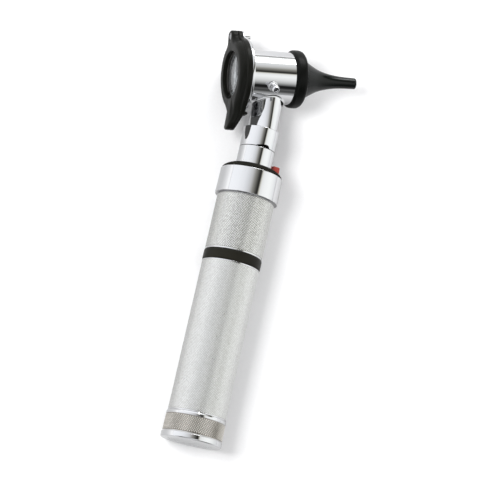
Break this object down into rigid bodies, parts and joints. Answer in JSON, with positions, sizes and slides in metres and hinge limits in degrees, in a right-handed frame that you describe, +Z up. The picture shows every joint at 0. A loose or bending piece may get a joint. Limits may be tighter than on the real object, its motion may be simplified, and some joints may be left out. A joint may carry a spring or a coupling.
{
  "type": "otoscope",
  "caption": "Hand-held otoscope: knurled chromed battery handle, bayonet neck, and head with swing-aside magnifier, hose nipple and push-on ear speculum.",
  "frame": {"origin": "centre of the flat bottom face of the tail cap", "axes": "+Z up along the handle, +X towards the speculum, -Y towards the hose nipple"},
  "size_m": [0.0719, 0.0382, 0.2098],
  "materials": {
    "polished_chrome": "mirror-bright chrome plate",
    "knurled_chrome": "satin chrome plate over a fine diamond knurl",
    "black_plastic": "satin moulded black plastic",
    "speculum_plastic": "smooth black polypropylene with a soft sheen",
    "red_plastic": "red moulded plastic",
    "insulator": "brown phenolic insulating plastic",
    "lens_glass": "clear polished glass",
    "lamp_glass": "clear glass envelope",
    "fibre": "bundled clear optical fibre",
    "brass": "turned brass",
    "spring_steel": "spring wire and strip",
    "rubber": "soft black rubber",
    "track": "dark resistive film on a hard wafer",
    "cell_can": "plain wrapped cell can",
    "steel": "plated steel"
  },
  "bodies": {
    "handle": {"lower_barrel": "knurled_chrome", "upper_barrel": "knurled_chrome", "barrel_ring": "black_plastic", "barrel_coupler": "brass", "battery_lower": "cell_can", "battery_upper": "cell_can", "battery_terminals": "steel", "positive_contact": "brass", "contact_carrier": "insulator", "top_plate": "insulator", "rheostat_track": "track", "bayonet_post": "polished_chrome", "post_nut": "steel", "post_insulator": "insulator", "contact_pin_spring": "spring_steel", "tail_spring": "spring_steel"},
    "control_ring": {"control_ring": "polished_chrome", "ring_cap": "black_plastic", "button_spring": "spring_steel", "rheostat_wiper": "brass"},
    "lock_button": {"lock_button": "red_plastic"},
    "contact_pin": {"contact_pin": "brass"},
    "tail_slide": {"tail_seal": "rubber"},
    "tail_cap": {"tail_cap": "knurled_chrome"},
    "head": {"neck_sleeve": "polished_chrome", "head_housing": "polished_chrome", "insufflation_port": "polished_chrome", "port_seal": "rubber", "lamp_base": "brass", "lamp_glass": "lamp_glass", "lamp_contact": "steel", "lamp_holder": "brass", "rear_flange": "polished_chrome", "rear_seal_ring": "rubber", "pivot_screw": "steel", "wave_washer": "spring_steel", "pivot_nut": "polished_chrome", "viewing_funnel": "black_plastic", "speculum_holder": "black_plastic", "front_collar": "black_plastic", "light_guide": "fibre"},
    "lens_frame": {"lens_frame": "black_plastic", "magnifier_lens": "lens_glass", "lens_retaining_ring": "steel"},
    "speculum": {"speculum": "speculum_plastic"}
  },
  "joints": [
    {"name": "control_ring_turn", "type": "hinge", "parent": "handle", "child": "control_ring", "pos_m": [0, 0, 0.1324], "axis": [0, 0, -1], "range_deg": [0, 120]},
    {"name": "lock_button_press", "type": "slide", "parent": "control_ring", "child": "lock_button", "axis": [0, 0, -1], "range_m": [0, 0.0014], "stiffness_N_per_m": 400, "springref_m": -0.001, "deforming": ["button_spring"]},
    {"name": "contact_pin_press", "type": "slide", "parent": "handle", "child": "contact_pin", "axis": [0, 0, -1], "range_m": [0, 0.0015], "stiffness_N_per_m": 300, "springref_m": -0.002, "deforming": ["contact_pin_spring"]},
    {"name": "tail_cap_travel", "type": "slide", "parent": "handle", "child": "tail_slide", "axis": [0, 0, -1], "range_m": [0, 0.0075], "deforming": ["tail_spring"]},
    {"name": "tail_cap_turn", "type": "hinge", "parent": "tail_slide", "child": "tail_cap", "pos_m": [0, 0, 0], "axis": [0, 0, -1], "range_deg": [0, 1802]},
    {"name": "head_twist", "type": "hinge", "parent": "handle", "child": "head", "pos_m": [0, 0, 0.156], "axis": [0, 0, 1], "range_deg": [0, 50]},
    {"name": "lens_swing", "type": "hinge", "parent": "head", "child": "lens_frame", "pos_m": [-0.02406, 0, 0.20596], "axis": [0.9732, 0, 0.23], "range_deg": [-95, 95]},
    {"name": "speculum_pull", "type": "slide", "parent": "head", "child": "speculum", "axis": [0.9732, 0, 0.23], "range_m": [0, 0.014]}
  ],
  "couplings": [
    {"joint": "tail_cap_turn", "follows": "tail_cap_travel", "rad_per_m": 4188.8}
  ]
}
